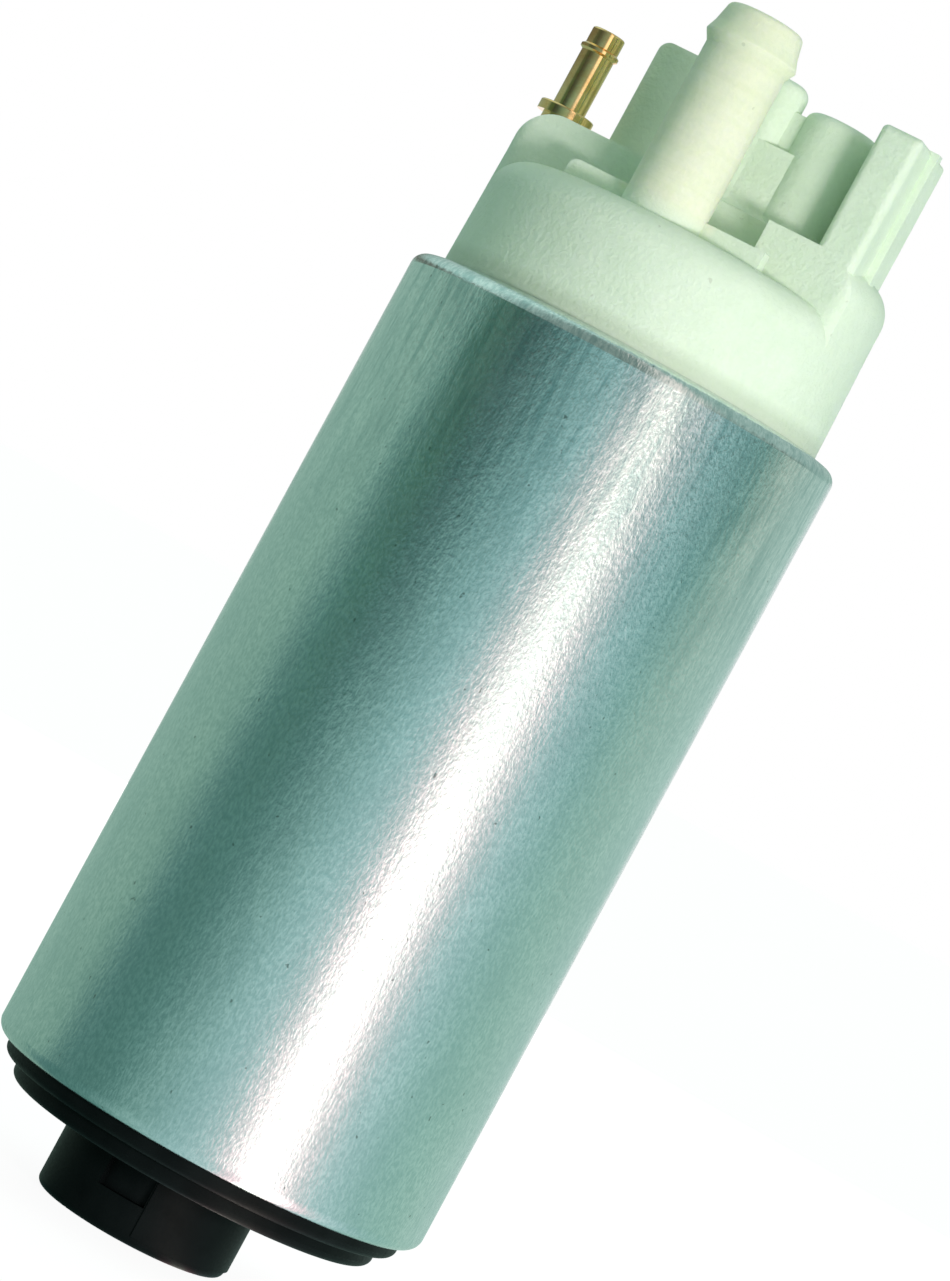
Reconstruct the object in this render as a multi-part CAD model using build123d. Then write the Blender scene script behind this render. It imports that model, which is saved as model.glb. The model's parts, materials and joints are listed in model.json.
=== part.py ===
from build123d import *
from math import cos, pi, radians, sin, sqrt
import os

os.makedirs("parts", exist_ok=True)

# sizes in mm: z is up, z = 0 is the end face of the inlet boss, x runs along the connector

# rolled steel can
can_r = 21.5
can_wall = 1.2
can_low_z = 10.7
can_long = 79.7
can_high_z = can_low_z + can_long
can_in_r = can_r - can_wall
can_round = 1.3
lip_wall = 1.2
lip_rise = 0.5
low_lip_wide = 1.45
low_lip_r = can_r - low_lip_wide
top_lip_wide = 2.55

# gaps between pieces that are only pushed together, and between ones that slide or turn
seat_gap = 0.05
slide_gap = 0.08
turn_gap = 0.04
side_gap = 0.02
fit_r = can_in_r - seat_gap

# outlet cover: drum, low front deck and raised blocks, with heights above the can and the deck
drum_r = can_r - top_lip_wide
drum_draft = 0.25
drum_top_r = drum_r - drum_draft
deck_high = 11.4
deck_z = can_high_z + deck_high
deck_round = 3.3
block_high = 4.9
block_z = deck_z + block_high
block_round = 3.3
cover_depth = 6.4
cover_low_z = can_high_z - cover_depth
# one unit of the cap's layout, which grows with the cap
cap_unit = drum_top_r / 18.7
block_front_y = -7.3 * cap_unit
block_corner_round = 2.0
recess_left_x = -4.6 * cap_unit
recess_right_x = 7.6 * cap_unit
recess_back_y = -3.4 * cap_unit

# connector walls, panel, posts and tall column, with heights above the raised blocks
socket_left_x = -11.2 * cap_unit
socket_front_y = -1.5 * cap_unit
socket_back_y = 12.0 * cap_unit
socket_high = 11.0
socket_top_z = block_z + socket_high
socket_wall = 1.55
socket_floor_high = 0.9
socket_floor_z = block_z + socket_floor_high
socket_round = 1.1
cavity_front_y = 4.3 * cap_unit
panel_right_x = 5.8 * cap_unit
panel_y = -2.7 * cap_unit
panel_high = 6.6
panel_top_z = block_z + panel_high
tower_x = 7.5 * cap_unit
tower_y = 0.2 * cap_unit
tower_r = 3.6 * cap_unit
tower_high = 11.2
tower_top_z = block_z + tower_high
tower_round = 0.9
post_x = 1.0 * cap_unit
post_y = -0.5 * cap_unit
post_r = 2.3 * cap_unit
post_high = 12.7
post_top_z = block_z + post_high
post_round = 1.2
notch_drop = 0.7
foot_round = 1.0
column_left_x = 12.5 * cap_unit
column_right_x = 16.6 * cap_unit
column_back_y = 3.0 * cap_unit
column_high = 12.3
column_top_z = block_z + column_high
column_round = 0.8
column_top_round = 0.5
rib_out = 0.7
rib_front_y = -3.1 * cap_unit
rib_thick = 1.3
latch_wide = 6.0 * cap_unit
latch_out = 1.2
latch_high = 4.0
latch_drop = 2.5

# hose pipe with barb and foot bar
pipe_y = -11.5 * cap_unit
pipe_r = 3.9
pipe_bore_r = 2.5
pipe_high = 20.05
pipe_top_z = deck_z + pipe_high
pipe_top_r = 3.6
barb_r = 4.45
barb_neck_r = 4.05
barb_low_drop = 4.05
barb_edge_drop = 3.05
barb_neck_drop = 2.0
pipe_tip_round = 0.6
bar_half_x = 10.0 * cap_unit
bar_thick = 1.75
bar_high = 1.7
bar_top_z = deck_z + bar_high
bar_round = 0.9

# brass nipple and the relief valve below it
nipple_x = -15.1 * cap_unit
nipple_y = -4.0 * cap_unit
nipple_r = 1.6
nipple_bore_r = 0.9
nipple_flange_r = 2.65
nipple_flange_thick = 1.0
nipple_high = 8.9
nipple_top_z = block_z + nipple_high
nipple_ring_r = 1.87
nipple_ring_drop = 1.6
nipple_ring_high = 0.7
nipple_round = 0.2
shank_r = 2.0
shank_long = 5.1
shank_low_z = block_z - shank_long
relief_r = 1.75
relief_long = 8.6
relief_floor_z = shank_low_z - relief_long
relief_bore_r = 1.0
ball_r = 1.5
relief_coil_r = 1.15
relief_wire_r = 0.2

# outlet valve in the root of the pipe
chamber_r = 3.6
chamber_roof = 1.4
chamber_top_z = deck_z - chamber_roof
seat_low_z = cover_low_z + 0.4
seat_thick = 2.6
seat_high_z = seat_low_z + seat_thick
seat_bore_r = 1.7
plunger_r = 2.7
plunger_high = 1.6
stem_r = 0.9
spider_high = 1.4
spider_hole_r = 0.75
spider_drop = 3.4
spider_low_z = chamber_top_z - spider_drop
stem_top_z = spider_low_z + 1.6
valve_coil_r = 1.7
valve_wire_r = 0.25

# commutator, brushes, their springs and leads; one unit of the inner layout grows with the can
gear_unit = fit_r / 20.25
comm_drop = 4.0
comm_face_z = cover_low_z - comm_drop
comm_thick = 2.2
comm_r = 11.0 * gear_unit
comm_bore_r = 3.2
comm_gap = 0.5
comm_core_long = 7.0
comm_core_low_z = comm_face_z - comm_core_long
comm_core_r = 9.0 * gear_unit
brush_x = 7.4 * gear_unit
brush_wide = 4.6 * gear_unit
brush_deep = 6.0 * gear_unit
brush_high = 8.6
well_roof = 3.2
well_top_z = deck_z - well_roof
guide_low_z = comm_face_z + 1.2
guide_wall = 1.0
brush_coil_r = 1.75 * gear_unit
brush_wire_r = 0.25
lead_r = 0.175
lead_swing = 0.3

# suppression coils under the terminals
blade_gap = 9.0 * cap_unit
blade_wide = 4.0 * cap_unit
blade_thick = 0.8
blade_drop = 2.1
blade_top_z = socket_top_z - blade_drop
choke_y = 9.2 * cap_unit
choke_well_r = 2.7 * cap_unit
choke_core_r = 1.5 * cap_unit
choke_low_z = cover_low_z + 1.0
choke_roof = 6.8
choke_high_z = deck_z - choke_roof
choke_wire_r = 0.3

# seal rings
seal_r = 1.0
seal_groove_gap = 0.1

# gear pump
shoulder_thick = 1.5
inlet_plate_low_z = can_low_z + lip_wall + shoulder_thick
inlet_plate_thick = 6.0
ring_low_z = inlet_plate_low_z + inlet_plate_thick
ring_thick = 6.0
ring_high_z = ring_low_z + ring_thick
outlet_plate_thick = 5.0
outlet_plate_high_z = ring_high_z + outlet_plate_thick
lobes = 6
offset = 0.9 * gear_unit
tooth_ring_r = 9.0 * gear_unit
tooth_r = 2.6 * gear_unit
mesh_gap = 0.07
root_gap = 0.12
outer_rotor_r = 12.2 * gear_unit
kidney_r = 7.4 * gear_unit
kidney_wide = 2.8 * gear_unit
kidney_start_deg = 28.0
kidney_end_deg = 152.0
bush_floor = 0.4
low_bush_r = 3.6
thrust_r = 5.0
thrust_thick = 0.8

# motor
shell_wall = 1.5
magnet_thick = 3.85 * gear_unit
magnet_gap_r = 0.6
shell_in_r = fit_r - shell_wall
magnet_in_r = shell_in_r - magnet_thick
stack_r = magnet_in_r - magnet_gap_r
slot_count = 8
tooth_wide = 4.2 * gear_unit
tooth_tip = 1.6 * gear_unit
slot_mouth = 1.6
stack_core_r = 6.4 * gear_unit
coil_inset = 0.35
overhang_high = 6.5
insulator_thick = 0.8
stack_low_z = outlet_plate_high_z + 9.6
stack_high_z = comm_core_low_z - 9.0
magnet_over = 3.0
magnet_low_z = stack_low_z - magnet_over
magnet_high_z = stack_high_z + magnet_over
magnet_half_deg = 62.0
clip_thick = 0.7
clip_half_deg = 24.0
clip_leg_deg = 2.5
clip_in_r = magnet_in_r + 0.4
shaft_r = 2.0
flat_depth = 0.5
shaft_low_z = ring_low_z - 4.4
bush_r = 3.4
bush_low_z = guide_low_z + 0.2
bush_long = 6.6
bush_high_z = bush_low_z + bush_long
shaft_high_z = bush_high_z + 1.4

# inlet cover
flange_r = low_lip_r - 0.15
flange_thick = 1.5
flange_low_z = can_low_z - flange_thick
tier_inset = 1.6
tier_r = flange_r - tier_inset
tier_thick = 1.7
tier_low_z = flange_low_z - tier_thick
tier_round = 0.8
boss_x = -2.4 * gear_unit
boss_r = 9.45 * gear_unit
boss_round = 0.7
inlet_bore_r = 6.2 * gear_unit
inlet_chamber_r = 9.2 * gear_unit
inlet_chamber_z = tier_low_z + 1.5
window_high_z = 6.6
window_low_z = 3.6
window_depth = 0.9
pad_raise = 0.25
pad_start_deg = -69.0
pad_end_deg = 111.0
window_start_deg = -99.0


def rod(x, y, z0, z1, r):
    """Upright cylinder."""
    return Pos(x, y, (z0 + z1) / 2) * Cylinder(r, z1 - z0)


def tube(z0, z1, r_out, r_in, x=0.0, y=0.0):
    """Upright tube."""
    return rod(x, y, z0, z1, r_out) - rod(x, y, z0 - 1, z1 + 1, r_in)


def slab(x0, x1, y0, y1, z0, z1):
    """Box given by its limits."""
    return Pos((x0 + x1) / 2, (y0 + y1) / 2, (z0 + z1) / 2) * Box(x1 - x0, y1 - y0, z1 - z0)


def turned(points):
    """Solid turned about z from a closed outline of radius and height."""
    return revolve(make_face(Plane.XZ * Polyline(*points, close=True)), Axis.Z)


def rim(shape, r, z):
    """Circular edges of one radius at one height."""
    found = []
    for edge in shape.edges().filter_by(GeomType.CIRCLE):
        if abs(edge.radius - r) < 0.01 and abs(edge.center().Z - z) < 0.01:
            found.append(edge)
    return found


def wedge(r_in, r_out, a0, a1, z0, z1):
    """Ring sector between two angles in degrees."""
    outer = CenterArc((0, 0), r_out, a0, a1 - a0)
    inner = CenterArc((0, 0), r_in, a0, a1 - a0)
    face = make_face([outer, inner, Line(outer @ 0, inner @ 0), Line(outer @ 1, inner @ 1)])
    return Pos(0, 0, z0) * extrude(face, z1 - z0)


def coil(x, y, z0, z1, r, wire, turns):
    """Helical spring whose wire lies between two heights."""
    path = Helix(pitch=(z1 - z0 - 2 * wire) / turns, height=z1 - z0 - 2 * wire, radius=r)
    section = Plane(origin=path @ 0, z_dir=path % 0) * Circle(wire)
    return Pos(x, y, z0 + wire) * sweep(section, path=path, is_frenet=True)


def save(name, shape):
    """Write one piece to its own file."""
    export_step(shape, f"parts/{name}.step")


# can: tube with both ends rolled in over the covers
lip_top_z = can_high_z - lip_rise
can_line = [(0, can_low_z), (can_r, can_low_z), (can_r, lip_top_z), (drum_r, can_high_z), (0, can_high_z)]
can_outer = turned(can_line)
can_outer = fillet(rim(can_outer, can_r, can_low_z) + rim(can_outer, can_r, lip_top_z), can_round)
lip_under_z = can_high_z - lip_rise - lip_wall
can = can_outer - rod(0, 0, can_low_z + lip_wall, lip_under_z, can_in_r)
can = can - rod(0, 0, can_low_z - 1, can_low_z + lip_wall + 1, low_lip_r)
can = can - rod(0, 0, lip_under_z - 1, can_high_z + 1, drum_r + seat_gap)
save("can", can)

# outlet cover: drum with rounded front rim
drum_side = [(drum_r, can_high_z), (drum_top_r, deck_z)]
drum = turned([(0, cover_low_z), (drum_r, cover_low_z)] + drum_side + [(0, deck_z)])
drum = fillet(rim(drum, drum_top_r, deck_z), deck_round)
cover = drum + rod(0, 0, cover_low_z, lip_under_z - seat_gap, fit_r)

# raised blocks left and right of the recess, with a rounded outer rim
high = turned([(0, can_high_z)] + drum_side + [(drum_top_r, block_z), (0, block_z)])
high = fillet(rim(high, drum_top_r, block_z), block_round)
for x0, x1, corner in ((-can_r, recess_left_x, 0), (recess_right_x, can_r, -1)):
    block_mid = Pos((x0 + x1) / 2, (block_front_y + can_r) / 2)
    plan = Circle(drum_r) & block_mid * Rectangle(x1 - x0, can_r - block_front_y)
    outer_corner = plan.vertices().group_by(Axis.Y)[0].sort_by(Axis.X)[corner]
    plan = fillet(outer_corner, block_corner_round)
    block = high & Pos(0, 0, can_high_z + 1) * extrude(plan, block_z - can_high_z)
    cover = cover + block
back_block = slab(recess_left_x, recess_right_x, recess_back_y, can_r, can_high_z + 1, block_z + 1)
cover = cover + (high & back_block)

# connector: wall all round with a saddle in its rim, panel, tower and post
socket = slab(socket_left_x, column_left_x, socket_front_y, socket_back_y, block_z - 1, socket_top_z)
socket = fillet(socket.edges().filter_by(Axis.Y).group_by(Axis.Z)[-1].sort_by(Axis.X)[0:1], socket_round)
notch_z = socket_top_z - notch_drop
socket = socket - slab(post_x, tower_x, socket_front_y - 1, cavity_front_y, notch_z, socket_top_z + 1)
socket = socket - slab(tower_x, column_left_x, socket_front_y - 1, tower_y, block_z, socket_top_z + 1)
panel = slab(post_x, panel_right_x, panel_y, socket_front_y + 1, block_z - 1, panel_top_z)
tower = rod(tower_x, tower_y, block_z - 1, tower_top_z, tower_r)
tower = fillet(rim(tower, tower_r, tower_top_z), tower_round)
post = rod(post_x, post_y, block_z - 1, post_top_z, post_r)
post = fillet(rim(post, post_r, post_top_z), post_round)

# tall column with a rib on its outer side
column = slab(column_left_x, column_right_x, block_front_y, column_back_y, block_z - 1, column_top_z)
column = fillet(column.edges().filter_by(Axis.Y).group_by(Axis.Z)[-1], column_top_round)
column = fillet(column.edges().filter_by(Axis.Z).group_by(Axis.Y)[0], column_round)
rib_back_y = rib_front_y + rib_thick
rib = slab(column_right_x - 1, column_right_x + rib_out, rib_front_y, rib_back_y, block_z - 1, column_top_z)
column = column + rib

# catch for the plug on the back wall
catch_z = socket_top_z - latch_drop
catch_line = Polyline(
    (socket_back_y - 0.5, catch_z),
    (socket_back_y, catch_z),
    (socket_back_y + latch_out, catch_z - latch_high * 0.8),
    (socket_back_y, catch_z - latch_high),
    (socket_back_y - 0.5, catch_z - latch_high),
    close=True,
)
catch = extrude(make_face(Plane.YZ * catch_line), latch_wide / 2, both=True)
catch_x = (socket_left_x + column_left_x) / 2
connector = socket + panel + tower + post + column + Pos(catch_x, 0, 0) * catch
cover = cover + connector

# coves where the panel and the tower stand on the blocks
panel_cove_r = panel_y - recess_back_y
panel_cove = slab(post_x, tower_x, recess_back_y, panel_y, block_z - 1, block_z + panel_cove_r)
cove_axis = Pos((post_x + tower_x) / 2, recess_back_y, block_z + panel_cove_r) * Rot(0, 90, 0)
panel_cove = panel_cove - cove_axis * Cylinder(panel_cove_r, tower_x - post_x + 2)
cove_out_r = tower_r + foot_round
cove_high_z = block_z + foot_round
tower_cove = rod(tower_x, tower_y, block_z - 1, cove_high_z, cove_out_r)
tower_cove = tower_cove - Pos(tower_x, tower_y, cove_high_z) * Torus(cove_out_r, foot_round)
tower_front = slab(recess_right_x, column_left_x, block_front_y, tower_y, block_z - 1, cove_high_z)
tower_cove = tower_cove & tower_front
cover = cover + panel_cove + tower_cove

# hose pipe with barb, on its foot bar
bar = slab(-bar_half_x, bar_half_x, pipe_y, pipe_y + bar_thick, deck_z - 1, bar_top_z)
bar = fillet(bar.edges().filter_by(Axis.Y).group_by(Axis.Z)[-1].sort_by(Axis.X)[0:1], bar_round)
barb_edge_z = pipe_top_z - barb_edge_drop
pipe_line = [(0, deck_z - 1), (pipe_r, deck_z - 1), (pipe_r, pipe_top_z - barb_low_drop)]
pipe_line = pipe_line + [(barb_r, barb_edge_z), (barb_neck_r, pipe_top_z - barb_neck_drop)]
pipe_line = pipe_line + [(pipe_top_r, pipe_top_z), (0, pipe_top_z)]
pipe = turned(pipe_line)
pipe = fillet(rim(pipe, pipe_top_r, pipe_top_z), pipe_tip_round)
pipe = fillet(rim(pipe, barb_r, barb_edge_z), pipe_tip_round / 3)
cover = cover + bar + Pos(0, pipe_y, 0) * pipe

# guides that reach down to the commutator and hold the upper bush
well_half_x = brush_wide / 2 + slide_gap
well_half_y = brush_deep / 2 + slide_gap
guide_x = brush_x + well_half_x + guide_wall
guide_y = well_half_y + guide_wall
cover = cover + slab(-guide_x, guide_x, -guide_y, guide_y, guide_low_z, cover_low_z + 1)
for side in (-1, 1):
    left = side * brush_x - well_half_x
    right = side * brush_x + well_half_x
    cover = cover - slab(left, right, -well_half_y, well_half_y, guide_low_z - 1, well_top_z)
cover = cover - rod(0, 0, guide_low_z - 1, bush_high_z, bush_r)
cover = cover - rod(0, 0, bush_high_z - 1, shaft_high_z + 1, shaft_r + 0.5)

# fuel way through the valve chamber and the pipe
cover = cover - rod(0, pipe_y, cover_low_z - 1, chamber_top_z, chamber_r)
cover = cover - rod(0, pipe_y, chamber_top_z - 1, pipe_top_z + 1, pipe_bore_r)

# relief way below the nipple
cover = cover - rod(nipple_x, nipple_y, cover_low_z - 1, relief_floor_z + 1, relief_bore_r)
cover = cover - rod(nipple_x, nipple_y, relief_floor_z, shank_low_z + 1, relief_r)
cover = cover - rod(nipple_x, nipple_y, shank_low_z, block_z + 1, shank_r)

# connector socket, open at the top
cavity_left_x = socket_left_x + socket_wall
cavity_right_x = column_left_x - socket_wall
cavity_back_y = socket_back_y - socket_wall
cavity_mid_x = (cavity_left_x + cavity_right_x) / 2
cavity_mid_y = (cavity_front_y + cavity_back_y) / 2
cavity_top_z = column_top_z + 1
cavity = slab(cavity_left_x, cavity_right_x, cavity_front_y, cavity_back_y, socket_floor_z, cavity_top_z)
cover = cover - cavity

# terminal blades and the coil wells below them
for side, name in ((-1, "left"), (1, "right")):
    mid_x = cavity_mid_x + side * blade_gap / 2
    low_y = cavity_mid_y - blade_wide / 2
    high_y = cavity_mid_y + blade_wide / 2
    blade = slab(mid_x - blade_thick / 2, mid_x + blade_thick / 2, low_y, high_y, choke_high_z, blade_top_z)
    tips = blade.edges().filter_by(Axis.X).group_by(Axis.Z)[-1]
    blade = chamfer(tips, blade_wide / 5)
    well = rod(mid_x, choke_y, cover_low_z - 1, choke_high_z + 1, choke_well_r)
    cover = cover - well - blade
    save(f"terminal_{name}", blade)
    save(f"choke_core_{name}", rod(mid_x, choke_y, choke_low_z, choke_high_z, choke_core_r))
    wind_r = choke_core_r + choke_wire_r + seat_gap
    winding = coil(mid_x, choke_y, choke_low_z + 1, choke_high_z - 1, wind_r, choke_wire_r, 6)
    save(f"choke_winding_{name}", winding)

# groove for the cover's seal ring
seal_mid_r = can_in_r - seal_r
cover_seal_z = (cover_low_z + lip_under_z) / 2
groove_r = seal_mid_r - seal_r
groove_half = seal_r + seal_groove_gap
cover = cover - tube(cover_seal_z - groove_half, cover_seal_z + groove_half, fit_r + 1, groove_r)
save("outlet_cover", cover)
save("cover_seal", Pos(0, 0, cover_seal_z) * Torus(seal_mid_r, seal_r))

# brass nipple, pressed into the left block
nipple_line = [(nipple_bore_r, shank_low_z), (shank_r, shank_low_z), (shank_r, block_z)]
flange_top_z = block_z + nipple_flange_thick
nipple_line = nipple_line + [(nipple_flange_r, block_z), (nipple_flange_r, flange_top_z)]
nipple_line = nipple_line + [(nipple_r, flange_top_z)]
ring_high = nipple_top_z - nipple_ring_drop
ring_low = ring_high - nipple_ring_high
nipple_line = nipple_line + [(nipple_r, ring_low), (nipple_ring_r, ring_low + nipple_round)]
nipple_line = nipple_line + [(nipple_ring_r, ring_high - nipple_round), (nipple_r, ring_high)]
nipple_line = nipple_line + [(nipple_r, nipple_top_z), (nipple_bore_r, nipple_top_z)]
nipple = turned(nipple_line)
nipple = fillet(rim(nipple, nipple_r, nipple_top_z), nipple_round)
nipple = fillet(rim(nipple, nipple_flange_r, flange_top_z), nipple_round)
save("vent_nipple", Pos(nipple_x, nipple_y, 0) * nipple)

# relief ball on its seat, held down by its spring
ball_z = relief_floor_z + sqrt(ball_r**2 - relief_bore_r**2) + 0.01
save("relief_ball", Pos(nipple_x, nipple_y, ball_z) * Sphere(ball_r))
relief_spring_low = ball_z + sqrt(ball_r**2 - (relief_coil_r - relief_wire_r) ** 2)
relief_spring = coil(nipple_x, nipple_y, relief_spring_low, shank_low_z, relief_coil_r, relief_wire_r, 5)
save("relief_spring", relief_spring)

# outlet valve: seat, plunger, spring and the spider that guides the stem
save("valve_seat", tube(seat_low_z, seat_high_z, chamber_r, seat_bore_r, 0, pipe_y))
plunger_top_z = seat_high_z + side_gap + plunger_high
plunger = rod(0, pipe_y, seat_high_z + side_gap, plunger_top_z, plunger_r)
plunger = fillet(rim(plunger, plunger_r, plunger_top_z), plunger_high / 3)
plunger = plunger + rod(0, pipe_y, plunger_top_z - 0.5, stem_top_z, stem_r)
save("valve_plunger", plunger)
spider = rod(0, pipe_y, spider_low_z, spider_low_z + spider_high, chamber_r)
spider = spider - rod(0, pipe_y, spider_low_z - 1, spider_low_z + spider_high + 1, stem_r + slide_gap)
flow_r = (chamber_r + stem_r) / 2
for turn in range(3):
    angle = radians(120 * turn)
    flow_x = flow_r * cos(angle)
    flow_y = pipe_y + flow_r * sin(angle)
    spider = spider - rod(flow_x, flow_y, spider_low_z - 1, spider_low_z + spider_high + 1, spider_hole_r)
save("valve_spider", spider)
save("valve_spring", coil(0, pipe_y, plunger_top_z, spider_low_z, valve_coil_r, valve_wire_r, 5))

# brushes, springs and leads
brush_low_z = comm_face_z + side_gap
brush_top_z = brush_low_z + brush_high
for side, name in ((-1, "left"), (1, "right")):
    mid_x = side * brush_x
    left = mid_x - brush_wide / 2
    right = mid_x + brush_wide / 2
    brush = slab(left, right, -brush_deep / 2, brush_deep / 2, brush_low_z, brush_top_z)
    brush = chamfer(brush.edges().group_by(Axis.Z)[-1], 0.3)
    save(f"brush_{name}", brush)
    save(f"brush_spring_{name}", coil(mid_x, 0, brush_top_z, well_top_z, brush_coil_r, brush_wire_r, 6))
    save(f"brush_lead_{name}", coil(mid_x, 0, brush_top_z, well_top_z, lead_swing, lead_r, 2))

# upper and lower bush
save("upper_bush", tube(bush_low_z, bush_high_z, bush_r, shaft_r + turn_gap))
save("lower_bush", tube(ring_high_z + bush_floor, outlet_plate_high_z, low_bush_r, shaft_r + turn_gap))

# motor shell, magnets and the clips between them
save("motor_shell", tube(outlet_plate_high_z, cover_low_z, fit_r, shell_in_r))
for mid, name in ((180, "left"), (0, "right")):
    start = mid - magnet_half_deg
    magnet = wedge(magnet_in_r, shell_in_r, start, mid + magnet_half_deg, magnet_low_z, magnet_high_z)
    save(f"magnet_{name}", magnet)
for mid, name in ((90, "back"), (270, "front")):
    low_deg = mid - clip_half_deg
    high_deg = mid + clip_half_deg
    clip = wedge(shell_in_r - clip_thick, shell_in_r, low_deg, high_deg, magnet_low_z, magnet_high_z)
    leg = wedge(clip_in_r, shell_in_r, high_deg - clip_leg_deg, high_deg, magnet_low_z, magnet_high_z)
    other = wedge(clip_in_r, shell_in_r, low_deg, low_deg + clip_leg_deg, magnet_low_z, magnet_high_z)
    save(f"magnet_clip_{name}", clip + leg + other)

# armature stack: a core, straight teeth and curved tooth tips
pitch = 360 / slot_count
slot_out_r = stack_r - tooth_tip
mouth_deg = slot_mouth / stack_r * 180 / pi
stack = rod(0, 0, stack_low_z, stack_high_z, stack_core_r)
for number in range(slot_count):
    turn = number * pitch
    tooth = slab(0, slot_out_r + tooth_tip / 2, -tooth_wide / 2, tooth_wide / 2, stack_low_z, stack_high_z)
    start = turn - (pitch - mouth_deg) / 2
    tip = wedge(slot_out_r, stack_r, start, start + pitch - mouth_deg, stack_low_z, stack_high_z)
    stack = stack + Rot(0, 0, turn) * tooth + tip
stack = stack - rod(0, 0, stack_low_z - 1, stack_high_z + 1, shaft_r)
save("armature_stack", stack)

# insulating end plates in the outline of the teeth
low_turn_z = stack_low_z - insulator_thick
high_turn_z = stack_high_z + insulator_thick
for z0, z1, name in ((low_turn_z, stack_low_z, "lower"), (stack_high_z, high_turn_z, "upper")):
    plate = rod(0, 0, z0, z1, stack_core_r)
    for number in range(slot_count):
        arm = slab(0, slot_out_r, -tooth_wide / 2, tooth_wide / 2, z0, z1)
        plate = plate + Rot(0, 0, number * pitch) * arm
    save(f"insulator_{name}", plate - rod(0, 0, z0 - 1, z1 + 1, shaft_r))

# copper winding: bundles in the slots, joined by rounded heads above and below
wind_in_r = stack_core_r + coil_inset
wind_out_r = slot_out_r - coil_inset
winding = tube(low_turn_z, high_turn_z, wind_out_r, wind_in_r)
half = tooth_wide / 2 + coil_inset
for number in range(slot_count):
    gap = slab(0, stack_r, -half, half, low_turn_z - 1, high_turn_z + 1)
    winding = winding - Rot(0, 0, number * pitch) * gap
head_top_z = high_turn_z + overhang_high
head_low_z = low_turn_z - overhang_high
upper_head = tube(high_turn_z, head_top_z, wind_out_r, wind_in_r)
upper_head = fillet(rim(upper_head, wind_out_r, head_top_z), overhang_high / 3)
lower_head = tube(head_low_z, low_turn_z, wind_out_r, wind_in_r)
lower_head = fillet(rim(lower_head, wind_out_r, head_low_z), overhang_high / 3)
save("armature_winding", winding + upper_head + lower_head)

# commutator: moulded core on the shaft and flat segments on top
comm_low_z = comm_face_z - comm_thick
core = tube(comm_core_low_z, comm_low_z, comm_core_r, shaft_r)
core = core + tube(comm_low_z, comm_face_z, comm_bore_r, shaft_r)
core = core + tube(comm_low_z - 1, comm_low_z, comm_r, shaft_r)
save("commutator_core", core)
for number in range(slot_count):
    gap_deg = comm_gap / comm_r * 180 / pi
    start = number * pitch + gap_deg / 2
    segment = wedge(comm_bore_r, comm_r, start, start + pitch - gap_deg, comm_low_z, comm_face_z)
    segments = segment if number == 0 else segments + segment
save("commutator_segments", segments)

# shaft with a flat where it drives the inner rotor
shaft = rod(0, 0, shaft_low_z, shaft_high_z, shaft_r)
flat_x = shaft_r - flat_depth
flat = slab(flat_x, shaft_r + 1, -shaft_r, shaft_r, ring_low_z, ring_high_z)
shaft = shaft - flat
save("shaft", chamfer(rim(shaft, shaft_r, shaft_high_z) + rim(shaft, shaft_r, shaft_low_z), 0.4))

# thrust washer above the lower bush
thrust_low_z = outlet_plate_high_z + side_gap
save("thrust_washer", tube(thrust_low_z, thrust_low_z + thrust_thick, thrust_r, shaft_r))

# kidney-shaped ways through the two plates
def kidney(start, end, z0, z1):
    """Curved slot about the shaft."""
    shape = wedge(kidney_r - kidney_wide / 2, kidney_r + kidney_wide / 2, start, end, z0, z1)
    for angle in (start, end):
        end_x = kidney_r * cos(radians(angle))
        end_y = kidney_r * sin(radians(angle))
        shape = shape + rod(end_x, end_y, z0, z1, kidney_wide / 2)
    return shape


inlet_plate = rod(0, 0, inlet_plate_low_z, ring_low_z, fit_r)
inlet_plate = inlet_plate - rod(0, 0, shaft_low_z - 0.6, ring_low_z + 1, shaft_r + turn_gap)
inlet_plate = inlet_plate - kidney(kidney_start_deg, kidney_end_deg, inlet_plate_low_z - 1, ring_low_z + 1)
inlet_seal_z = (inlet_plate_low_z + ring_low_z) / 2
groove = tube(inlet_seal_z - groove_half, inlet_seal_z + groove_half, fit_r + 1, groove_r)
save("inlet_plate", inlet_plate - groove)
save("inlet_seal", Pos(0, 0, inlet_seal_z) * Torus(seal_mid_r, seal_r))

outlet_plate = rod(0, 0, ring_high_z, outlet_plate_high_z, fit_r)
outlet_plate = outlet_plate - rod(0, 0, ring_high_z - 1, ring_high_z + bush_floor, shaft_r + 0.5)
outlet_plate = outlet_plate - rod(0, 0, ring_high_z + bush_floor, outlet_plate_high_z + 1, low_bush_r)
outlet_low = 180 + kidney_start_deg
outlet_high = 180 + kidney_end_deg
save("outlet_plate", outlet_plate - kidney(outlet_low, outlet_high, ring_high_z - 1, outlet_plate_high_z + 1))

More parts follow.
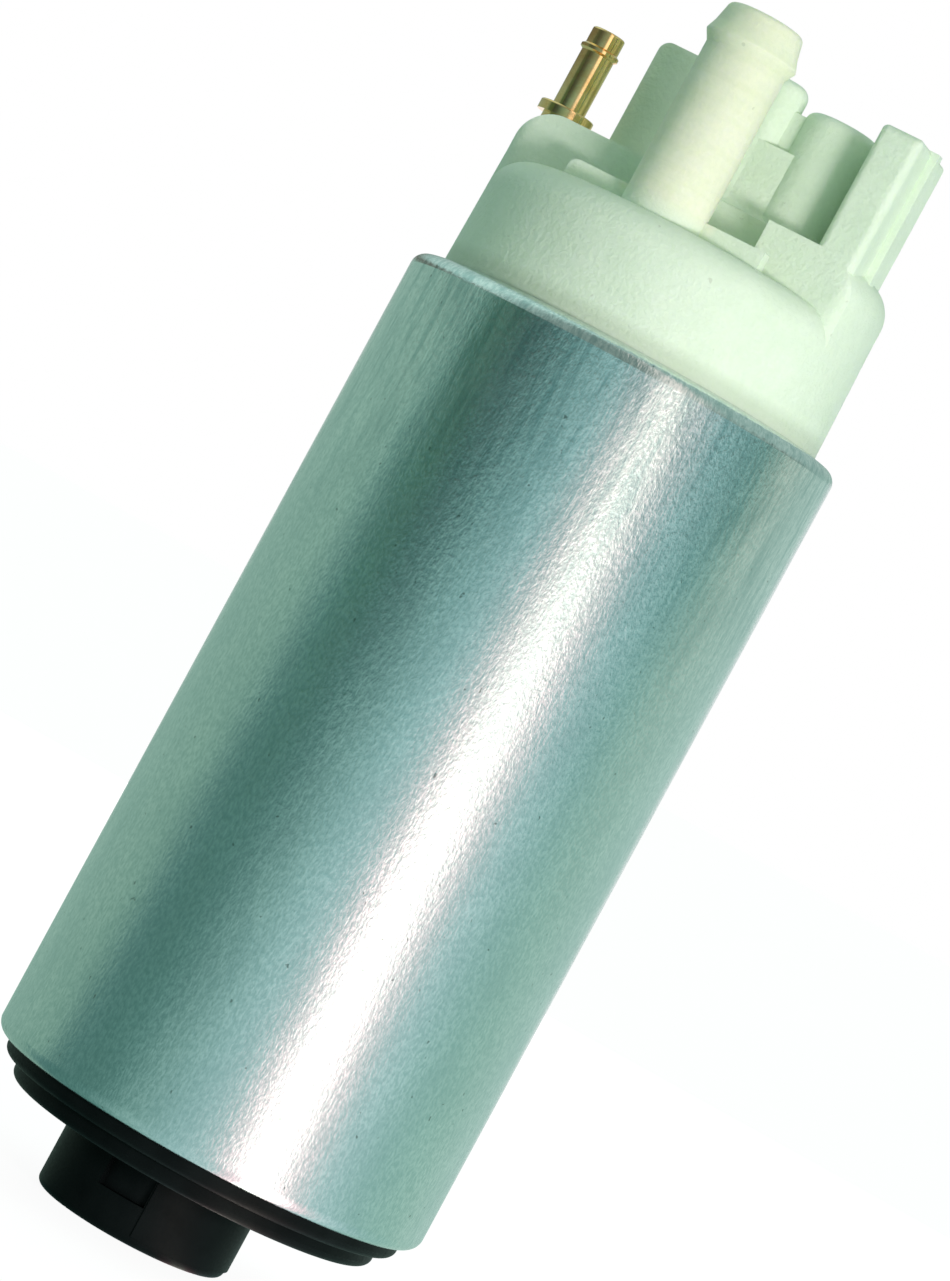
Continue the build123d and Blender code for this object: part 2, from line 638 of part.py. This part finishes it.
# pump ring with its bore off centre, and the two rotors that mesh in it
pump_ring = rod(0, 0, ring_low_z, ring_high_z, fit_r)
save("pump_ring", pump_ring - rod(-offset, 0, ring_low_z - 1, ring_high_z + 1, outer_rotor_r + turn_gap))
rotor_low_z = ring_low_z + side_gap
rotor_high = ring_high_z - ring_low_z - 2 * side_gap
points = []
steps = 16 * lobes
for step in range(steps):
    angle = 2 * pi * step / steps
    turn = (lobes + 1) * angle
    track_x = tooth_ring_r * cos(angle) - offset * cos(turn)
    track_y = tooth_ring_r * sin(angle) - offset * sin(turn)
    slope_x = -tooth_ring_r * sin(angle) + offset * (lobes + 1) * sin(turn)
    slope_y = tooth_ring_r * cos(angle) - offset * (lobes + 1) * cos(turn)
    speed = sqrt(slope_x**2 + slope_y**2)
    inward = (tooth_r + mesh_gap) / speed
    points.append((track_x - slope_y * inward, track_y + slope_x * inward))
inner = extrude(make_face(Spline(*points, periodic=True)), rotor_high)
drive_hole = Cylinder(shaft_r, 3 * rotor_high)
drive_hole = drive_hole - slab(flat_x, shaft_r + 1, -shaft_r, shaft_r, -2 * rotor_high, 2 * rotor_high)
save("inner_rotor", Pos(0, 0, rotor_low_z) * (inner - drive_hole))

root_r = tooth_ring_r + 2 * offset - tooth_r + root_gap
outer = tube(rotor_low_z, rotor_low_z + rotor_high, outer_rotor_r, root_r)
for number in range(lobes + 1):
    angle = 2 * pi * number / (lobes + 1)
    tooth_x = tooth_ring_r * cos(angle)
    tooth_y = tooth_ring_r * sin(angle)
    tooth = rod(tooth_x, tooth_y, rotor_low_z, rotor_low_z + rotor_high, tooth_r)
    outer = outer + (tooth & rod(0, 0, rotor_low_z, rotor_low_z + rotor_high, outer_rotor_r - 0.5))
save("outer_rotor", Pos(-offset, 0, 0) * outer)

# inlet cover: plug in the can, flange and tier below it, then the round boss
base_line = [(0, tier_low_z), (tier_r, tier_low_z), (tier_r, flange_low_z), (flange_r, flange_low_z)]
shoulder_z = can_low_z + lip_wall + seat_gap
base_line = base_line + [(flange_r, shoulder_z), (fit_r, shoulder_z), (fit_r, inlet_plate_low_z)]
base = turned(base_line + [(0, inlet_plate_low_z)])
base = fillet(rim(base, tier_r, tier_low_z), tier_round)
base = fillet(rim(base, flange_r, flange_low_z), tier_round)
boss = rod(boss_x, 0, 0, tier_low_z + 1, boss_r)
boss = fillet(rim(boss, boss_r, 0), boss_round)
pad = wedge(boss_r - 1, boss_r + pad_raise, pad_start_deg, pad_end_deg, boss_round + 0.2, tier_low_z + 0.5)
window_end_deg = pad_start_deg - 1
window_in_r = boss_r - window_depth
window = wedge(window_in_r, boss_r + 1, window_start_deg, window_end_deg, window_low_z, window_high_z)
boss = boss + Pos(boss_x, 0, 0) * pad - Pos(boss_x, 0, 0) * window
base = base + boss
base = base - rod(boss_x, 0, -1, inlet_chamber_z + 1, inlet_bore_r)
base = base - rod(0, 0, inlet_chamber_z, inlet_plate_low_z + 1, inlet_chamber_r)
save("inlet_cover", base)
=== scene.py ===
import bpy
import json
import math
from mathutils import Matrix, Vector


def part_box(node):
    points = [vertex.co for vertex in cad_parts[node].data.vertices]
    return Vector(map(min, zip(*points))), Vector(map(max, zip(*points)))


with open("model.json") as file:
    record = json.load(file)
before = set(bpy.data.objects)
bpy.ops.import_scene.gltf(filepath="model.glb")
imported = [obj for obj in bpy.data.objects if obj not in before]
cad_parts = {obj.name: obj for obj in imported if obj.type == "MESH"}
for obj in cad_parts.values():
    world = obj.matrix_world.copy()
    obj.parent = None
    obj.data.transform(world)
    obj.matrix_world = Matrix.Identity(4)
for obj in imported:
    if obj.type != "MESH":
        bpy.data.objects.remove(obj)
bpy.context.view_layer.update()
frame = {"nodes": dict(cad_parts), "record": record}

scene = bpy.context.scene
scene.view_settings.view_transform = "Standard"

# places on the solids that the materials follow, in metres, with the can's top to a tenth of a millimetre
MM = 0.001
mounts = {mount["name"]: mount for mount in frame["record"]["mounts"]}
pipe_x, pipe_y = mounts["outlet_pipe"]["pos_m"][:2]
can_top = round(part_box("can")[1][2], 4)
deck_z = can_top + 11.4 * MM
# painted shade: the cover is darkened just above the can's top, in the crease where the drum meets the
# can's lip
crease_shade_z = can_top + 0.9 * MM
streak_low_z = can_top - 30.4 * MM
streak_high_z = can_top + 4.6 * MM
PIPE_NEAR = 4.6 * MM
PIPE_FAR = 5.2 * MM
DECK_FADE = 2 * MM
CREASE_SHADE_FADE = 1.2 * MM

# colours of the pale green cover and of its hose pipe
CAP_DARK = (0.71, 0.845, 0.67)
CAP_LIGHT = (0.76, 0.885, 0.72)
CAP_PIT = (0.52, 0.64, 0.47)
CAP_SPECK = (0.42, 0.48, 0.36)
# painted shade for the crease where the drum meets the can
CAP_CREASE_SHADE = (0.40, 0.50, 0.35)
PIPE_DARK = (0.81, 0.86, 0.66)
PIPE_LIGHT = (0.85, 0.89, 0.71)
PIPE_RING = (0.72, 0.78, 0.54)

# colours of the can: its grain by the noise, and what lies over it
CAN_GRAIN = [
    (0.38, (0.57, 0.68, 0.67)),
    (0.50, (0.67, 0.76, 0.75)),
    (0.62, (0.77, 0.84, 0.83)),
]
CAN_CLOUD = (0.50, 0.63, 0.63)
CAN_STREAK = (0.28, 0.44, 0.44)
CAN_SCRATCH = (0.88, 0.90, 0.90)
CAN_SPECK = (0.16, 0.21, 0.19)

# how strongly the can is streaked, by the share of the way from the lowest streaks to the highest
STREAK_BAND = [
    (0.05, (0.0, 0.0, 0.0)),
    (0.65, (0.5, 0.5, 0.5)),
    (0.84, (0.5, 0.5, 0.5)),
    (0.88, (0.0, 0.0, 0.0)),
]

# most of a noise lies between these values
NOISE_LOW = 0.3
NOISE_HIGH = 0.7
EVEN = (1, 1, 1)

# places of a mixing node's sockets for colours
MIX_SHARE = 0
MIX_UNDER = 6
MIX_OVER = 7
MIX_RESULT = 2


# shader helpers
def feed(tree, given, socket):
    """Link an input to a socket, or set it to a number, a vector or a colour."""
    if isinstance(given, bpy.types.NodeSocket):
        tree.links.new(given, socket)
    elif socket.type == "RGBA":
        socket.default_value = (*given, 1)
    else:
        socket.default_value = given


def new_material(name):
    """Material with its tree, its surface shader and the object's own coordinates."""
    mat = bpy.data.materials.new(name)
    mat.use_nodes = True
    tree = mat.node_tree
    shader = tree.nodes["Principled BSDF"]
    coord = tree.nodes.new("ShaderNodeTexCoord")
    return mat, tree, shader, coord.outputs["Object"]


def worked_out(tree, kind, operation, given):
    """Outputs of a maths node over its inputs."""
    made = tree.nodes.new(kind)
    made.operation = operation
    for value, socket in zip(given, made.inputs):
        feed(tree, value, socket)
    return made.outputs


def number(tree, operation, *given):
    """Number worked out from others."""
    return worked_out(tree, "ShaderNodeMath", operation, given)["Value"]


def axes(tree, vector):
    """Outputs X, Y and Z of a vector."""
    made = tree.nodes.new("ShaderNodeSeparateXYZ")
    feed(tree, vector, made.inputs["Vector"])
    return made.outputs


def noise(tree, position, scale, detail, rough, stretch=EVEN):
    """Noise value over stretched coordinates."""
    mapping = tree.nodes.new("ShaderNodeMapping")
    mapping.inputs["Scale"].default_value = stretch
    feed(tree, position, mapping.inputs["Vector"])
    made = tree.nodes.new("ShaderNodeTexNoise")
    made.inputs["Scale"].default_value = scale
    made.inputs["Detail"].default_value = detail
    made.inputs["Roughness"].default_value = rough
    feed(tree, mapping.outputs["Vector"], made.inputs["Vector"])
    return made.outputs["Fac"]


def ramp(tree, value, stops):
    """Colour ramp over a value, from places and colours in order."""
    made = tree.nodes.new("ShaderNodeValToRGB")
    elements = made.color_ramp.elements
    for index, (place, colour) in enumerate((stops[0], stops[-1])):
        elements[index].position = place
        elements[index].color = (*colour, 1)
    for place, colour in stops[1:-1]:
        elements.new(place).color = (*colour, 1)
    feed(tree, value, made.inputs["Fac"])
    return made.outputs["Color"]


def span(tree, value, low, high, new_low, new_high):
    """Value moved from one range to another."""
    made = tree.nodes.new("ShaderNodeMapRange")
    made.inputs["From Min"].default_value = low
    made.inputs["From Max"].default_value = high
    made.inputs["To Min"].default_value = new_low
    made.inputs["To Max"].default_value = new_high
    feed(tree, value, made.inputs["Value"])
    return made.outputs["Result"]


def blend(tree, share, under, over):
    """Two colours mixed, by the share of the second."""
    made = tree.nodes.new("ShaderNodeMix")
    made.data_type = "RGBA"
    feed(tree, share, made.inputs[MIX_SHARE])
    feed(tree, under, made.inputs[MIX_UNDER])
    feed(tree, over, made.inputs[MIX_OVER])
    return made.outputs[MIX_RESULT]


def overlay(tree, under, over, value, limits, shares):
    """Colour laid over another: its share goes along as a value goes from limit to limit."""
    share = span(tree, value, *limits, *shares)
    return blend(tree, share, under, over)


def tones(tree, value, dark, light):
    """Colour from dark to light over a noise."""
    return ramp(tree, value, [(NOISE_LOW, dark), (NOISE_HIGH, light)])


def spread(tree, value, low, high):
    """Number from low to high over a noise."""
    return span(tree, value, NOISE_LOW, NOISE_HIGH, low, high)


def bump(tree, shader, height, strength, depth):
    """Bump on a shader."""
    made = tree.nodes.new("ShaderNodeBump")
    made.inputs["Strength"].default_value = strength
    made.inputs["Distance"].default_value = depth
    feed(tree, height, made.inputs["Height"])
    feed(tree, made.outputs["Normal"], shader.inputs["Normal"])


# materials
def metal(name, dark, light, rough_low, rough_high, scale=400.0, stretch=EVEN):
    """Metal with faint marks and small changes of gloss."""
    mat, tree, shader, position = new_material(name)
    marks = noise(tree, position, scale, detail=6.0, rough=0.6, stretch=stretch)
    feed(tree, tones(tree, marks, dark, light), shader.inputs["Base Color"])
    feed(tree, spread(tree, marks, rough_low, rough_high), shader.inputs["Roughness"])
    shader.inputs["Metallic"].default_value = 1.0
    bump(tree, shader, marks, strength=0.3, depth=0.02 * MM)
    return mat


def plastic(name, dark, light, rough, specular=0.5):
    """Moulded plastic with faint mottling and a fine skin."""
    mat, tree, shader, position = new_material(name)
    clouds = noise(tree, position, scale=300.0, detail=3.0, rough=0.5)
    skin = noise(tree, position, scale=3600.0, detail=2.0, rough=0.5)
    feed(tree, tones(tree, clouds, dark, light), shader.inputs["Base Color"])
    feed(tree, spread(tree, skin, rough - 0.05, rough + 0.05), shader.inputs["Roughness"])
    shader.inputs["Specular IOR Level"].default_value = specular
    bump(tree, shader, skin, strength=0.25, depth=0.03 * MM)
    return mat


def pipe_share(tree, position, height):
    """One on the hose pipe and nothing elsewhere on the cover."""
    kind = "ShaderNodeVectorMath"
    from_axis = worked_out(tree, kind, "SUBTRACT", (position, (pipe_x, pipe_y, 0)))["Vector"]
    level = worked_out(tree, kind, "MULTIPLY", (from_axis, (1, 1, 0)))["Vector"]
    reach = worked_out(tree, kind, "LENGTH", (level,))["Value"]
    near = span(tree, reach, PIPE_NEAR, PIPE_FAR, 1.0, 0.0)
    above = span(tree, height, deck_z, deck_z + DECK_FADE, 0.0, 1.0)
    return number(tree, "MULTIPLY", near, above)


def cap_plastic():
    """Pale green moulding with a fine skin and specks, creamier and finely ringed on the hose pipe, with
    painted shade in the crease where the drum meets the can.
    """
    mat, tree, shader, position = new_material("green_plastic")
    height = axes(tree, position)["Z"]
    on_pipe = pipe_share(tree, position, height)
    clouds = noise(tree, position, scale=260.0, detail=4.0, rough=0.55)
    skin = noise(tree, position, scale=1900.0, detail=3.0, rough=0.6)
    specks = noise(tree, position, scale=1100.0, detail=2.0, rough=0.5)
    rings = noise(tree, position, scale=1300.0, detail=2.0, rough=0.5, stretch=(0.04, 0.04, 1))
    body = tones(tree, clouds, CAP_DARK, CAP_LIGHT)
    cream = tones(tree, clouds, PIPE_DARK, PIPE_LIGHT)
    ringed = overlay(tree, cream, PIPE_RING, rings, (0.50, 0.68), (0.0, 0.22))
    plain = blend(tree, on_pipe, body, ringed)
    mottled = overlay(tree, plain, CAP_PIT, skin, (0.38, 0.62), (0.10, 0.0))
    spotted = overlay(tree, mottled, CAP_SPECK, specks, (0.74, 0.78), (0.0, 0.35))
    # painted shade: darkest at the crease above the can's lip and below it, fading out over a little more
    # than a millimetre upwards
    crease_shaded = overlay(tree, spotted, CAP_CREASE_SHADE, height, (crease_shade_z, crease_shade_z + CREASE_SHADE_FADE), (0.45, 0.0))
    feed(tree, crease_shaded, shader.inputs["Base Color"])
    feed(tree, spread(tree, skin, 0.36, 0.50), shader.inputs["Roughness"])
    feed(tree, span(tree, on_pipe, 0.0, 1.0, 0.25, 0.8), shader.inputs["Subsurface Weight"])
    shader.inputs["Subsurface Scale"].default_value = 1.5 * MM
    shader.inputs["Subsurface Radius"].default_value = (0.9, 1.0, 0.6)
    shader.inputs["Specular IOR Level"].default_value = 0.45
    bump(tree, shader, skin, strength=1.0, depth=0.12 * MM)
    return mat


def can_metal():
    """Zinc-plated steel with short grain, clouds, long scratches, dark specks and streaks near the lip."""
    mat, tree, shader, position = new_material("zinc_steel")
    height = axes(tree, position)["Z"]
    grain = noise(tree, position, scale=3800.0, detail=3.0, rough=0.6, stretch=(1, 1, 0.48))
    lines = noise(tree, position, scale=2400.0, detail=4.0, rough=0.65, stretch=(1, 1, 0.05))
    clouds = noise(tree, position, scale=260.0, detail=6.0, rough=0.65, stretch=(1, 1, 0.45))
    specks = noise(tree, position, scale=1500.0, detail=2.0, rough=0.5, stretch=(1, 1, 0.8))
    streaks = noise(tree, position, scale=1300.0, detail=3.0, rough=0.6, stretch=(1, 1, 0.10))
    plain = ramp(tree, grain, CAN_GRAIN)
    worn = overlay(tree, plain, CAN_CLOUD, clouds, (0.38, 0.66), (0.0, 0.40))
    band = ramp(tree, span(tree, height, streak_low_z, streak_high_z, 0.0, 1.0), STREAK_BAND)
    drawn = number(tree, "MULTIPLY", band, span(tree, streaks, 0.48, 0.62, 0.0, 1.0))
    streaked = blend(tree, drawn, worn, CAN_STREAK)
    marked = overlay(tree, streaked, CAN_SCRATCH, lines, (0.66, 0.74), (0.0, 0.5))
    pitted = overlay(tree, marked, CAN_SPECK, specks, (0.735, 0.765), (0.0, 0.75))
    feed(tree, pitted, shader.inputs["Base Color"])
    feed(tree, spread(tree, clouds, 0.16, 0.24), shader.inputs["Roughness"])
    shader.inputs["Metallic"].default_value = 1.0
    relief = number(tree, "MULTIPLY_ADD", lines, 0.25, grain)
    bump(tree, shader, relief, strength=0.9, depth=0.032 * MM)
    return mat


# one look for each material slot of the record
looks = {
    "zinc_steel": can_metal(),
    "green_plastic": cap_plastic(),
    "brass": metal("brass", (0.86, 0.50, 0.18), (0.98, 0.72, 0.37), 0.08, 0.13),
    "black_plastic": plastic(
        "black_plastic", (0.002, 0.003, 0.003), (0.005, 0.007, 0.007), 0.48, specular=0.09
    ),
    "tin_blade": metal("tin_blade", (0.62, 0.62, 0.60), (0.75, 0.75, 0.72), 0.2, 0.35),
    "ferrite": plastic("ferrite", (0.03, 0.03, 0.03), (0.05, 0.05, 0.05), 0.6),
    "magnet": plastic("magnet", (0.05, 0.05, 0.055), (0.08, 0.08, 0.085), 0.6),
    "copper": metal("copper", (0.55, 0.20, 0.08), (0.72, 0.30, 0.14), 0.22, 0.35),
    "seal_rubber": plastic("seal_rubber", (0.012, 0.012, 0.012), (0.02, 0.02, 0.02), 0.55),
    "valve_plastic": plastic("valve_plastic", (0.66, 0.66, 0.60), (0.72, 0.72, 0.66), 0.4),
    "spring_steel": metal("spring_steel", (0.45, 0.45, 0.45), (0.6, 0.6, 0.6), 0.2, 0.35),
    "steel": metal("steel", (0.45, 0.46, 0.47), (0.6, 0.61, 0.62), 0.22, 0.36),
    "shell_steel": metal("shell_steel", (0.32, 0.33, 0.34), (0.42, 0.43, 0.44), 0.35, 0.5),
    "carbon": plastic("carbon", (0.02, 0.02, 0.02), (0.035, 0.035, 0.035), 0.5),
    "bronze": metal("bronze", (0.45, 0.27, 0.12), (0.58, 0.36, 0.17), 0.4, 0.55),
    "core_plastic": plastic("core_plastic", (0.06, 0.03, 0.015), (0.09, 0.045, 0.02), 0.45),
    "insulation": plastic("insulation", (0.03, 0.09, 0.06), (0.05, 0.12, 0.08), 0.6),
    "stack_steel": metal(
        "stack_steel", (0.25, 0.25, 0.27), (0.36, 0.36, 0.38), 0.35, 0.5, 2500.0, (0.05, 0.05, 1)
    ),
}
for part in frame["record"]["subparts"]:
    shown = frame["nodes"][part["node"]]
    shown.data.materials.clear()
    shown.data.materials.append(looks[part["material_slot"]])

# camera: level with the upper can, to the connector's side, rolled as in the photograph
YAW = math.radians(18.0)
ROLL = math.radians(28.51)
CAMERA_REACH = 0.424
CAMERA_Z = 0.0642
FOCAL_PX = 4702.0
WIDTH_PX = 950.0
HEIGHT_PX = 1281.0
CENTRE_X_PX = 490.04
CENTRE_Y_PX = 616.23
SENSOR = 36.0
right = Vector((math.cos(YAW), math.sin(YAW), 0))
up = Vector((0, 0, 1))
back = Vector((math.sin(YAW), -math.cos(YAW), 0))
view_x = math.cos(ROLL) * right + math.sin(ROLL) * up
view_y = -math.sin(ROLL) * right + math.cos(ROLL) * up
turn = Matrix((view_x, view_y, back)).transposed().to_4x4()
camera = bpy.data.objects.new("camera", bpy.data.cameras.new("camera"))
scene.collection.objects.link(camera)
camera.matrix_world = Matrix.Translation(back * CAMERA_REACH + up * CAMERA_Z) @ turn
camera.data.sensor_width = SENSOR
camera.data.lens = FOCAL_PX * SENSOR / HEIGHT_PX
camera.data.shift_x = -(CENTRE_X_PX - WIDTH_PX / 2) / HEIGHT_PX
camera.data.shift_y = -(HEIGHT_PX / 2 - CENTRE_Y_PX) / HEIGHT_PX
camera.data.clip_start = 0.02
camera.data.clip_end = 20.0
scene.camera = camera

# lamps: angle to the right of the camera, distance, height, width, length, watts and colour
LAMP_AIM = Vector((0, 0, 65 * MM))
LAMPS = {
    "key": (27, 0.50, 0.025, 0.14, 0.08, 0.20, (1.00, 0.90, 0.94)),
    "shade": (31, 0.27, 0.058, 0.10, 0.03, 0.46, (1.00, 0.89, 0.93)),
    "fill": (20, 0.30, 0.075, 0.13, 0.10, 0.05, (0.90, 1.00, 0.97)),
    "rear": (172, 0.50, 0.110, 0.30, 0.25, 1.30, (1.00, 0.97, 0.96)),
}


def lamp(name, degrees, reach, height, wide, long, watts, colour):
    """Soft rectangular lamp aimed at the can, which metal doesn't mirror."""
    data = bpy.data.lights.new(name, "AREA")
    data.shape = "RECTANGLE"
    data.size = wide
    data.size_y = long
    data.energy = watts
    data.color = colour
    made = bpy.data.objects.new(name, data)
    scene.collection.objects.link(made)
    angle = YAW + math.radians(degrees)
    place = Vector((math.sin(angle) * reach, -math.cos(angle) * reach, height))
    facing = (LAMP_AIM - place).to_track_quat("-Z", "Y").to_matrix().to_4x4()
    made.matrix_world = Matrix.Translation(place) @ facing
    made.visible_camera = False
    made.visible_glossy = False


for lamp_name, lamp_values in LAMPS.items():
    lamp(lamp_name, *lamp_values)

# the room that metal mirrors, as colours by the angle to the right of the camera
ROOM_LOW = [
    (-174, (1.00, 1.00, 1.00)),
    (-164, (0.32, 0.50, 0.42)),
    (-118, (0.29, 0.46, 0.38)),
    (-92, (0.26, 0.43, 0.35)),
    (-80, (0.11, 0.24, 0.22)),
    (-62, (0.10, 0.23, 0.20)),
    (-48, (0.13, 0.28, 0.25)),
    (-30, (0.27, 0.46, 0.42)),
    (-7, (0.45, 0.66, 0.65)),
    (8, (0.66, 0.80, 0.80)),
    (14, (1.30, 0.90, 0.95)),
    (19, (2.00, 1.38, 1.46)),
    (23, (3.00, 2.90, 2.60)),
    (32, (3.00, 2.90, 2.60)),
    (36, (2.00, 1.38, 1.46)),
    (41, (1.30, 0.90, 0.95)),
    (48, (0.72, 0.82, 0.82)),
    (58, (0.56, 0.76, 0.76)),
    (80, (0.37, 0.59, 0.54)),
    (104, (0.38, 0.60, 0.52)),
    (122, (0.45, 0.65, 0.57)),
    (160, (0.52, 0.70, 0.64)),
    (172, (1.00, 1.00, 1.00)),
]
ROOM_HIGH = [
    (-174, (1.00, 1.00, 1.00)),
    (-164, (0.34, 0.51, 0.43)),
    (-90, (0.38, 0.60, 0.50)),
    (-82, (0.30, 0.54, 0.46)),
    (-74, (0.07, 0.22, 0.15)),
    (-60, (0.07, 0.19, 0.09)),
    (-54, (0.01, 0.05, 0.05)),
    (-38, (0.02, 0.10, 0.11)),
    (-17, (0.18, 0.46, 0.47)),
    (2, (0.34, 0.68, 0.70)),
    (22, (0.14, 0.13, 0.13)),
    (33, (0.14, 0.13, 0.13)),
    (40, (0.46, 0.72, 0.74)),
    (58, (0.25, 0.55, 0.55)),
    (78, (0.13, 0.38, 0.37)),
    (94, (0.34, 0.50, 0.42)),
    (104, (0.66, 0.72, 0.62)),
    (114, (0.58, 0.70, 0.62)),
    (160, (0.50, 0.68, 0.62)),
    (172, (1.00, 1.00, 1.00)),
]
ROOM_TOP = [
    (-170, (0.16, 0.17, 0.14)),
    (-90, (0.12, 0.12, 0.09)),
    (-60, (0.07, 0.08, 0.07)),
    (8, (0.26, 0.30, 0.26)),
    (21, (1.90, 1.85, 1.75)),
    (31, (1.90, 1.85, 1.75)),
    (41, (0.12, 0.12, 0.10)),
    (95, (0.09, 0.09, 0.07)),
    (130, (0.40, 0.56, 0.50)),
    (165, (0.46, 0.64, 0.57)),
]
DOME = [
    (-170, (0.42, 0.56, 0.51)),
    (-95, (0.68, 0.92, 0.84)),
    (-45, (0.25, 0.34, 0.31)),
    (12, (0.25, 0.32, 0.29)),
    (19, (1.10, 0.97, 0.91)),
    (36, (1.10, 0.97, 0.91)),
    (44, (0.40, 0.50, 0.46)),
    (60, (0.42, 0.56, 0.51)),
    (170, (0.42, 0.56, 0.51)),
]

# what lies above the low room: its colours, and between which rises it fades in
ROOM_STEPS = [
    (ROOM_HIGH, (0.0, 0.045)),
    (ROOM_TOP, (0.095, 0.115)),
    (DOME, (0.18, 0.28)),
]

# floor and background: what the camera sees, what the object gets, and the floor's share of own light
WHITE = (1.0, 1.0, 1.0)
FLOOR_SIZE = 6.0
FLOOR_SEEN = (0.85, 0.85, 0.85)
FLOOR_BOUNCE = (0.34, 0.45, 0.42)
FLOOR_GLOW = (1.09, 1.09, 1.09)
GLOW_SHARE = 0.85


def ramp_place(degrees):
    """Ramp place of an angle to the right of the camera."""
    return ((math.degrees(YAW) + degrees + 180.0) % 360.0) / 360.0


def around(tree, spot, colours):
    """Room colour by the compass angle of a spot or a direction."""
    azimuth = number(tree, "ARCTAN2", spot["X"], number(tree, "MULTIPLY", spot["Y"], -1.0))
    turned = span(tree, azimuth, -math.pi, math.pi, 0.0, 1.0)
    return ramp(tree, turned, sorted((ramp_place(degrees), colour) for degrees, colour in colours))


def make_floor():
    """Floor that is white with a faint shadow to the camera, and carries the room on for metal."""
    bpy.ops.mesh.primitive_plane_add(size=FLOOR_SIZE, location=(0, 0, 0))
    floor = bpy.context.object
    floor.name = "floor"
    mat, tree, shader, position = new_material("floor")
    rays = tree.nodes.new("ShaderNodeLightPath").outputs
    ground = blend(tree, rays["Is Camera Ray"], FLOOR_BOUNCE, FLOOR_SEEN)
    feed(tree, ground, shader.inputs["Base Color"])
    shader.inputs["Roughness"].default_value = 0.9
    room = around(tree, axes(tree, position), ROOM_LOW)
    glow = tree.nodes.new("ShaderNodeEmission")
    feed(tree, blend(tree, rays["Is Camera Ray"], room, FLOOR_GLOW), glow.inputs["Color"])
    mirrored = number(tree, "MAXIMUM", rays["Is Glossy Ray"], rays["Is Transmission Ray"])
    share = number(tree, "MULTIPLY_ADD", rays["Is Camera Ray"], GLOW_SHARE, mirrored)
    mix = tree.nodes.new("ShaderNodeMixShader")
    feed(tree, share, mix.inputs["Fac"])
    feed(tree, shader.outputs[0], mix.inputs[1])
    feed(tree, glow.outputs[0], mix.inputs[2])
    feed(tree, mix.outputs[0], tree.nodes["Material Output"].inputs["Surface"])
    floor.data.materials.append(mat)


def make_world():
    """World that is white to the camera and the room to everything else."""
    world = bpy.data.worlds.new("room")
    scene.world = world
    world.use_nodes = True
    tree = world.node_tree
    tree.nodes.clear()
    direction = axes(tree, tree.nodes.new("ShaderNodeTexCoord").outputs["Generated"])
    room = around(tree, direction, ROOM_LOW)
    for colours, rises in ROOM_STEPS:
        room = overlay(tree, room, around(tree, direction, colours), direction["Z"], rises, (0.0, 1.0))
    rays = tree.nodes.new("ShaderNodeLightPath").outputs
    sky = tree.nodes.new("ShaderNodeBackground")
    feed(tree, blend(tree, rays["Is Camera Ray"], room, WHITE), sky.inputs["Color"])
    out = tree.nodes.new("ShaderNodeOutputWorld")
    feed(tree, sky.outputs[0], out.inputs["Surface"])


make_floor()
make_world()
